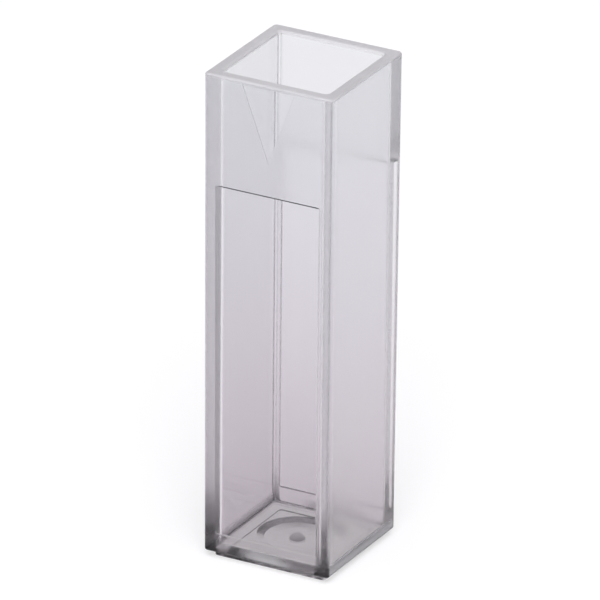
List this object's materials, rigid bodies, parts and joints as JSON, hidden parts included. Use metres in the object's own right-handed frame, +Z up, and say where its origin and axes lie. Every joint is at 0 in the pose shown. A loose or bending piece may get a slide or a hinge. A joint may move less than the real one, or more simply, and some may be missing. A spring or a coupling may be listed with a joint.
{
  "type": "cuvette",
  "caption": "Clear square polystyrene measuring cuvette, open at the top, with recessed optical windows, frosted side walls and a low plinth.",
  "frame": {"origin": "centre of the plinth's underside", "axes": "+Z up towards the open rim; the light path runs along Y; the window side with the triangle mark faces -Y"},
  "size_m": [0.0124, 0.0124, 0.045],
  "materials": {
    "clear_polystyrene": "clear, polished at the windows and lightly frosted on the side walls"
  },
  "bodies": {
    "root": {"cuvette": "clear_polystyrene"}
  },
  "joints": []
}
